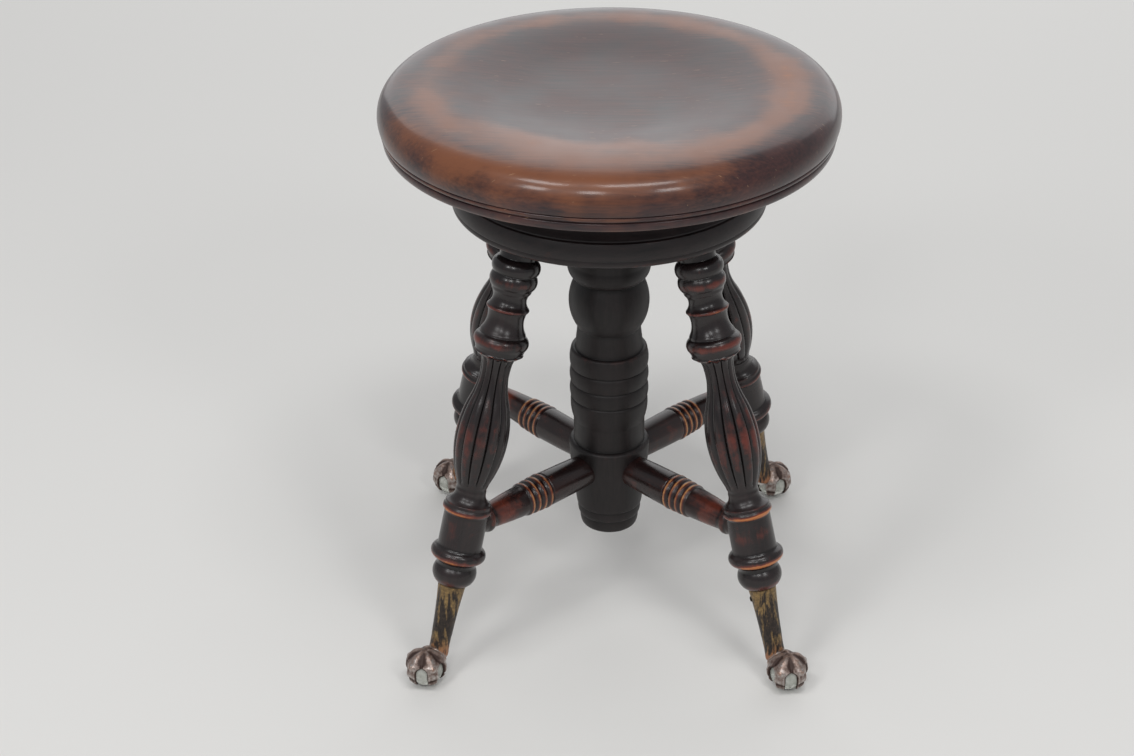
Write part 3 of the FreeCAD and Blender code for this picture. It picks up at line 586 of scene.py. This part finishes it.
def talon_radius(lift, across):
    """Outer radius of a talon, so many degrees up the ball and from -1 to 1 across the talon."""
    base = BALL_RADIUS + CLAW_THICKNESS + CLAW_LIFT * sin(radians(lift))
    side = abs(across)
    tendon = 1.0 * near(across, 0, 0.42) * near(lift, 52, 24)
    upper_knuckle = 1.7 * near(lift, 26, 8) * near(across, 0, 0.55)
    lower_knuckle = 1.1 * near(lift, 1, 8) * near(across, 0, 0.65)
    cuticle = -0.8 * near(lift, -14, 4)
    nail = 0.5 * near(lift, -27, 9) * near(across, 0, 0.6)
    valley = -1.4 * near(side, 1, 0.3) * near(lift, 50, 18)
    rim = 0.8 * near(side, 0.8, 0.16) - 0.9 * side ** 12 if lift < 40 else 0.0
    thin = -max(0.0, (-30 - lift) / 20)
    return base + tendon + upper_knuckle + lower_knuckle + cuticle + nail + valley + rim + thin


def foot_mesh(name):
    """Casting at azimuth 0, in millimetres: talons and ankle as closed shapes that overlap, for
    grown_together to make into one skin.
    """
    casting = bmesh.new()
    lifts = [88, 80, 72, 64, 57, 50, 44, 39, 35, 32, *range(29, TALON_LOWEST - 1, -3)]
    arch_row = 0
    while talon_half_angle(lifts[arch_row + 1]) >= 180 / CLAW_COUNT:
        arch_row += 1
    points = {}

    def point(layer, row, talon, column):
        if row <= arch_row:
            key = (layer, row, (talon * TALON_COLUMNS + column) % (CLAW_COUNT * TALON_COLUMNS))
        else:
            key = (layer, row, talon, column)
        if key not in points:
            lift = lifts[row]
            across = column / TALON_COLUMNS * 2 - 1
            turn = radians(talon * 360 / CLAW_COUNT + across * talon_half_angle(lift))
            reach = talon_radius(lift, across) if layer == "outer" else BALL_RADIUS + 0.15
            level = cos(radians(lift))
            way = Vector((cos(turn) * level, sin(turn) * level, sin(radians(lift))))
            points[key] = casting.verts.new(ball_centre + way * reach)
        return points[key]

    def wall(row, talon, column, turned):
        corners = [point("outer", row, talon, column), point("inner", row, talon, column),
                   point("inner", row + 1, talon, column), point("outer", row + 1, talon, column)]
        casting.faces.new(corners[::-1] if turned else corners)

    last = len(lifts) - 1
    for talon in range(CLAW_COUNT):
        for row in range(last):
            for column in range(TALON_COLUMNS):
                spots = [(row, column), (row + 1, column), (row + 1, column + 1), (row, column + 1)]
                casting.faces.new([point("outer", r, talon, c) for r, c in spots])
                casting.faces.new([point("inner", r, talon, c) for r, c in reversed(spots)])
            if row >= arch_row:
                wall(row, talon, 0, False)
                wall(row, talon, TALON_COLUMNS, True)
        for column in range(TALON_COLUMNS):
            tip = [("outer", column), ("inner", column), ("inner", column + 1), ("outer", column + 1)]
            casting.faces.new([point(layer, last, talon, c) for layer, c in tip])
    around = range(CLAW_COUNT * TALON_COLUMNS)
    casting.faces.new([points[("outer", 0, i)] for i in around])
    casting.faces.new([points[("inner", 0, i)] for i in reversed(around)])
    line = [(1.0, -LEG_LENGTH), (ANKLE_TOP_RADIUS - 0.4, -LEG_LENGTH)]
    follow(line, (ANKLE_TOP_RADIUS, -LEG_LENGTH - 1))
    follow(line, (8.3, -LEG_LENGTH - 42), -0.4)
    follow(line, (ANKLE_LOW_RADIUS + 0.6, -LEG_LENGTH - ANKLE_LENGTH + 4), -0.3)
    follow(line, (0.5, -LEG_LENGTH - ANKLE_LENGTH - 4), 3.0)
    rings = []
    for radius, height in line:
        ring = []
        for i in range(ANKLE_COLUMNS):
            turn = i * 2 * pi / ANKLE_COLUMNS
            spot = Vector((radius * cos(turn), radius * sin(turn), height))
            ring.append(casting.verts.new(leg_place @ spot))
        rings.append(ring)
    for upper, lower in zip(rings, rings[1:]):
        for i in range(ANKLE_COLUMNS):
            k = (i + 1) % ANKLE_COLUMNS
            casting.faces.new([upper[i], lower[i], lower[k], upper[k]])
    casting.faces.new(rings[0])
    casting.faces.new(rings[-1][::-1])
    casting.transform(Matrix.Scale(MM, 4))
    mesh = bpy.data.meshes.new(name)
    casting.to_mesh(mesh)
    casting.free()
    return mesh


def grown_together(mesh, voxel):
    """One skin round overlapping closed shapes, smoothed as a worn casting is."""
    maker = bpy.data.objects.new("casting_maker", mesh)
    bpy.context.scene.collection.objects.link(maker)
    remesh = maker.modifiers.new("skin", "REMESH")
    remesh.mode = "VOXEL"
    remesh.voxel_size = voxel * MM
    smooth = maker.modifiers.new("worn", "SMOOTH")
    smooth.factor = 0.5
    smooth.iterations = 3
    bpy.context.view_layer.update()
    graph = bpy.context.evaluated_depsgraph_get()
    skin = bpy.data.meshes.new_from_object(maker.evaluated_get(graph))
    bpy.data.objects.remove(maker)
    return skin


casting_skin = grown_together(foot_mesh("claw_casting"), CASTING_VOXEL)
casting_skin.shade_smooth()
# Each point's place against the ball and along the ankle, for the plating and the paint
casting_points = np.zeros(len(casting_skin.vertices) * 3, np.float32)
casting_skin.vertices.foreach_get("co", casting_points)
casting_points = casting_points.reshape(-1, 3) / MM
from_ball = casting_points - np.array(ball_centre)
ball_distance = np.linalg.norm(from_ball, axis=1)
to_leg = np.array(leg_place.inverted())
along_leg = -(casting_points @ to_leg[:3, :3].T + to_leg[:3, 3])[:, 2] - LEG_LENGTH
casting_lift = np.degrees(np.arcsin(np.clip(from_ball[:, 2] / ball_distance, -1, 1)))
on_ankle = np.clip((ball_distance - PAINT_START) / 2.5, 0, 1) * (casting_lift > 20)
casting_proud = (ball_distance - PLATE_MEAN - CLAW_LIFT * np.sin(np.radians(casting_lift))) / 1.6
set_attribute(casting_skin, "proud", np.clip(casting_proud, -1, 1) * (1 - on_ankle))
set_attribute(casting_skin, "ankle", on_ankle)
set_attribute(casting_skin, "down", along_leg / ANKLE_LENGTH)

# Plated casting: dull silver on the talons, lightened towards the crests into a painted highlight, over
# red-brown metal in the hollows that is partly patina and partly painted shade; on the ankle old gold
# paint flaking off dark brown iron. Rough from handling and the sand mould.
claw_metal, claw_tree, claw_shader = new_material("gilt_plated_casting", {})
claw_place = add_node(claw_tree, "TexCoord").outputs["Object"]
claw_down = add_node(claw_tree, "Attribute", {"attribute_name": "down"}).outputs["Fac"]
claw_proud = add_node(claw_tree, "Attribute", {"attribute_name": "proud"}).outputs["Fac"]
claw_ankle = add_node(claw_tree, "Attribute", {"attribute_name": "ankle"}).outputs["Fac"]
# Streaks of paint run down the ankle, 3 mm wide and 16 mm long
claw_turn = add_node(claw_tree, "Mapping", {"Rotation": (0, radians(LEG_SPLAY), 0),
                                            "Scale": (1 / (3 * MM), 1 / (3 * MM), 1 / (16 * MM))},
                     {"Vector": claw_place})
paint_streaks = add_node(claw_tree, "TexNoise", {"Scale": 1.0, "Detail": 5.0, "Roughness": 0.6},
                         {"Vector": claw_turn.outputs[0]})
# Paint is left mostly at the top of the ankle and again where the toes begin
paint_keep = add_node(claw_tree, "ValToRGB", {"stops": [(0.0, "#e0e0e0"), (0.3, "#b0b0b0"),
                                                        (0.55, "#707070"), (0.95, "#d0d0d0")]},
                      {"Fac": claw_down})
paint_sum = add_node(claw_tree, "Math", {"operation": "MULTIPLY_ADD", 1: 0.42},
                     {0: paint_keep.outputs[0], 2: paint_streaks.outputs["Fac"]})
paint_here = add_node(claw_tree, "MapRange", {"From Min": 0.66, "From Max": 0.77},
                      {"Value": paint_sum.outputs[0]})
paint = add_node(claw_tree, "Math", {"operation": "MULTIPLY"},
                 {0: paint_here.outputs[0], 1: claw_ankle})
# Pitting of the casting, about 2.5 mm across, which with the proudness sets the plate's colour
claw_specks = add_node(claw_tree, "TexNoise", {"Scale": 1 / (2.5 * MM), "Detail": 5.0,
                                               "Roughness": 0.65}, {"Vector": claw_place})
claw_spread = add_node(claw_tree, "Math", {"operation": "MULTIPLY_ADD", 1: 0.75},
                       {0: claw_proud, 2: claw_specks.outputs["Fac"]})
# The plate's colour runs from dark red-brown in the hollows, part patina and part painted shade, to
# near white on the crests, a painted highlight
claw_plate_and_painted_light = add_node(claw_tree, "ValToRGB", {"stops": [(0.12, "#3a2822"), (0.34, "#74625a"),
                                                        (0.58, "#a89e99"), (0.9, "#e2ddd9")]},
                      {"Fac": claw_spread.outputs[0]})
iron_tone = add_node(claw_tree, "ValToRGB", {"stops": [(0.35, "#1a1512"), (0.7, "#3a2e26")]},
                     {"Fac": claw_specks.outputs["Fac"]})
gold_tone = add_node(claw_tree, "ValToRGB", {"stops": [(0.3, "#54422a"), (0.7, "#9a7d4e")]},
                     {"Fac": claw_specks.outputs["Fac"]})
# Near the toes the paint is rubbed through to coppery metal
copper = add_node(claw_tree, "MapRange", {"From Min": 0.72, "From Max": 0.95, "To Max": 0.8},
                  {"Value": claw_down})
gold_tone = add_node(claw_tree, "MixRGB", {"Color2": linear("#a2694a")},
                     {"Fac": copper.outputs[0], "Color1": gold_tone.outputs[0]})
claw_body = add_node(claw_tree, "MixRGB", {}, {"Fac": claw_ankle, "Color1": claw_plate_and_painted_light.outputs[0],
                                               "Color2": iron_tone.outputs[0]})
claw_colour = add_node(claw_tree, "MixRGB", {},
                       {"Fac": paint.outputs[0], "Color1": claw_body.outputs[0],
                        "Color2": gold_tone.outputs[0]})
claw_tree.links.new(claw_colour.outputs[0], claw_shader.inputs["Base Color"])
claw_bright = add_node(claw_tree, "MapRange", {"From Min": 0.3, "From Max": 0.6, "To Min": 0.35,
                                               "To Max": 1.0}, {"Value": claw_spread.outputs[0]})
claw_metallic = add_node(claw_tree, "MixRGB", {"Color2": (0.25, 0.25, 0.25, 1)},
                         {"Fac": claw_ankle, "Color1": claw_bright.outputs[0]})
claw_tree.links.new(claw_metallic.outputs[0], claw_shader.inputs["Metallic"])
claw_rough = add_node(claw_tree, "MapRange", {"From Min": 0.3, "From Max": 0.8, "To Min": 0.55,
                                              "To Max": 0.26}, {"Value": claw_spread.outputs[0]})
claw_tree.links.new(claw_rough.outputs[0], claw_shader.inputs["Roughness"])
claw_thick = add_node(claw_tree, "Math", {"operation": "MULTIPLY_ADD", 1: 1.6},
                      {0: paint.outputs[0], 2: claw_specks.outputs["Fac"]})
claw_bump = add_node(claw_tree, "Bump", {"Strength": 0.5, "Distance": 0.25 * MM},
                     {"Height": claw_thick.outputs[0]})
claw_tree.links.new(claw_bump.outputs[0], claw_shader.inputs["Normal"])

for corner, azimuth in CORNERS.items():
    foot = bpy.data.objects.new("claw_casting_" + corner, casting_skin.copy())
    bpy.context.scene.collection.objects.link(foot)
    foot.matrix_world = Matrix.Rotation(radians(azimuth), 4, "Z")
    foot.data.materials.append(claw_metal)
    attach(foot, "base")
    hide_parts("claw_foot_" + corner)


# Glass balls
# Pressed glass balls, slightly grey-green, with a fine mould seam round the middle and a small
# flat worn where each one stands on the floor.

BALL_SEAM_HEIGHT = 0.06
BALL_SEAM_WIDTH = 0.35

# Old pressed glass is cloudy: light goes part of the way in, and its skin is a little uneven
ball_glass, ball_tree, ball_shader = new_material("pressed_glass", {
    "IOR": 1.5, "Transmission Weight": 0.45, "Roughness": 0.12})
ball_place = add_node(ball_tree, "TexCoord").outputs["Object"]
ball_waves = add_node(ball_tree, "TexNoise", {"Scale": 1 / (5 * MM), "Detail": 3.0},
                      {"Vector": ball_place})
ball_bump = add_node(ball_tree, "Bump", {"Strength": 0.3, "Distance": 0.3 * MM},
                     {"Height": ball_waves.outputs["Fac"]})
ball_tree.links.new(ball_bump.outputs[0], ball_shader.inputs["Normal"])
ball_tone = add_node(ball_tree, "ValToRGB", {"stops": [(0.3, "#b4b7ad"), (0.7, "#dfe0d8")]},
                     {"Fac": ball_waves.outputs["Fac"]})
ball_tree.links.new(ball_tone.outputs[0], ball_shader.inputs["Base Color"])
for corner, azimuth in CORNERS.items():
    shape = bmesh.new()
    bmesh.ops.create_icosphere(shape, subdivisions=5, radius=BALL_RADIUS)
    for vertex in shape.verts:
        seam = BALL_SEAM_HEIGHT * near(vertex.co.z, 0, BALL_SEAM_WIDTH)
        vertex.co *= 1 + seam / BALL_RADIUS
        vertex.co.z = max(vertex.co.z, -BALL_HEIGHT)
    shape.transform(Matrix.Scale(MM, 4) @ Matrix.Translation(ball_centre))
    ball_mesh = bpy.data.meshes.new("ball_" + corner)
    shape.to_mesh(ball_mesh)
    shape.free()
    ball_mesh.shade_smooth()
    ball = bpy.data.objects.new("pressed_ball_" + corner, ball_mesh)
    bpy.context.scene.collection.objects.link(ball)
    ball.matrix_world = Matrix.Rotation(radians(azimuth), 4, "Z")
    ball_mesh.materials.append(ball_glass)
    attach(ball, "base")
    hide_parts("glass_ball_" + corner)


# Screw, nut, plate and fastenings
# Hidden ironwork in the usual pattern: a cut screw riveted into a cast four-armed plate under the
# seat, a flanged nut let into the apron, a leather washer between them, and slotted wood screws.


def pitted_finish(name, colours, rough, metallic, grit):
    """Plain iron, steel or leather with fine pitting of a grit in millimetres."""
    material, tree, shader = new_material(name, {"Metallic": metallic})
    place = add_node(tree, "TexCoord").outputs["Object"]
    pits = add_node(tree, "TexNoise", {"Scale": 1 / (grit * MM), "Detail": 5.0, "Roughness": 0.6},
                    {"Vector": place})
    tone = add_node(tree, "ValToRGB", {"stops": [(0.35, colours[0]), (0.7, colours[1])]},
                    {"Fac": pits.outputs["Fac"]})
    tree.links.new(tone.outputs[0], shader.inputs["Base Color"])
    shine = add_node(tree, "MapRange", {"From Min": 0.3, "From Max": 0.7, "To Min": rough[0],
                                        "To Max": rough[1]}, {"Value": pits.outputs["Fac"]})
    tree.links.new(shine.outputs[0], shader.inputs["Roughness"])
    relief = add_node(tree, "Bump", {"Strength": 0.4, "Distance": 0.12 * MM},
                      {"Height": pits.outputs["Fac"]})
    tree.links.new(relief.outputs[0], shader.inputs["Normal"])
    return material


# Japanned cast iron: a thin black enamel over a sandy casting, satin and slightly pitted
japanned_iron = pitted_finish("japanned_cast_iron", ["#0e0d0d", "#1f1d1c"], [0.38, 0.6], 0.0, 2.2)
# Cut screw thread: grey iron darkened by old grease, brighter on the worn flanks
greased_iron = pitted_finish("greased_screw_iron", ["#4a4642", "#8b867f"], [0.28, 0.46], 1.0, 1.6)
# Wood screws: dull drawn steel with slots gone brown
screw_steel = pitted_finish("dull_screw_steel", ["#5a544d", "#9a948b"], [0.34, 0.5], 1.0, 1.0)
# Pins: steel blackened by age and old polish
pin_steel = pitted_finish("blackened_pin_steel", ["#221d19", "#4b423a"], [0.4, 0.55], 1.0, 0.8)
# Oiled sole leather, rubbed dark and slightly glossy
washer_leather = pitted_finish("oiled_sole_leather", ["#2b170d", "#55301b"], [0.5, 0.68], 0.0, 1.2)
IRONWORK = {"seat_spider": japanned_iron, "threaded_nut": japanned_iron, "spindle": greased_iron,
            "spider_screws": screw_steel, "nut_screws": screw_steel, "foot_pins": pin_steel,
            "thrust_washer": washer_leather}
for node, material in IRONWORK.items():
    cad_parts[node].data.materials.clear()
    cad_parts[node].data.materials.append(material)


# Floor, light and camera
# A plain pale floor, soft lamps above and in front with a broad one behind the stool, and the
# camera well above the seat, looking down at it.

FLOOR_REACH = 3.4
SKY_LEVEL = 0.48
CAMERA_LENS = 78.78
CAMERA_PLACE = (0.02829, -1.75646, 1.19492)
PITCH = radians(29.52)
YAW = radians(2.04)
ROLL = radians(-0.57)
# Lamps in metres and watts: place, the point they face, width, height and power
LAMPS = {
    "overhead_right": ((0.35, -0.8, 2.3), (0.1, 0, 0.3), 0.9, 0.4, 11),
    "overhead_left": ((-0.8, -0.8, 2.3), (0, 0, 0.3), 0.6, 0.4, 8),
    "front_left": ((-1.5, -2.0, 2.1), (0, 0, 0.3), 0.5, 0.5, 11),
    "front_middle": ((-0.35, -2.5, 2.2), (0, 0, 0.3), 0.5, 0.5, 10),
    "front_right": ((1.3, -2.1, 2.1), (0, 0, 0.3), 0.5, 0.5, 10),
    "behind": ((0.3, 2.3, 1.3), (0, 0, 0.45), 4.0, 2.2, 26),
}

floor_mesh = bpy.data.meshes.new("floor")
floor_corners = [(-FLOOR_REACH, -FLOOR_REACH, 0), (FLOOR_REACH, -FLOOR_REACH, 0),
                 (FLOOR_REACH, FLOOR_REACH, 0), (-FLOOR_REACH, FLOOR_REACH, 0)]
floor_mesh.from_pydata(floor_corners, [], [(0, 1, 2, 3)])
floor_piece = bpy.data.objects.new("floor", floor_mesh)
bpy.context.scene.collection.objects.link(floor_piece)
# Matt paint that shows the stool's shadow and next to no reflection
floor_paint = new_material("pale_matt_floor", {"Base Color": linear("#dddcd9"), "Roughness": 0.9,
                                               "Specular IOR Level": 0.1})[0]
floor_mesh.materials.append(floor_paint)

world = bpy.data.worlds.new("studio")
bpy.context.scene.world = world
world.use_nodes = True
sky_tree = world.node_tree
sky = sky_tree.nodes["Background"]
sky.inputs["Color"].default_value = linear("#f2f3f6")
ways = add_node(sky_tree, "LightPath")
sky_level = add_node(sky_tree, "MapRange", {"To Min": SKY_LEVEL, "To Max": 1.0},
                     {"Value": ways.outputs["Is Camera Ray"]})
sky_tree.links.new(sky_level.outputs[0], sky.inputs["Strength"])

for name, (at, towards, width, height, power) in LAMPS.items():
    light = bpy.data.lights.new(name, "AREA")
    light.shape = "RECTANGLE"
    light.size = width
    light.size_y = height
    light.energy = power
    lamp = bpy.data.objects.new(name, light)
    lamp.location = at
    lamp.rotation_euler = (Vector(towards) - Vector(at)).to_track_quat("-Z", "Y").to_euler()
    bpy.context.scene.collection.objects.link(lamp)

camera = bpy.data.cameras.new("camera")
camera.lens = CAMERA_LENS
camera.sensor_width = 36
eye = bpy.data.objects.new("camera", camera)
bpy.context.scene.collection.objects.link(eye)
look = Vector((-sin(YAW) * cos(PITCH), cos(YAW) * cos(PITCH), -sin(PITCH)))
eye.matrix_world = (Matrix.Translation(CAMERA_PLACE)
                    @ look.to_track_quat("-Z", "Y").to_matrix().to_4x4()
                    @ Matrix.Rotation(ROLL, 4, "Z"))
bpy.context.scene.camera = eye
bpy.context.scene.view_settings.view_transform = "Standard"
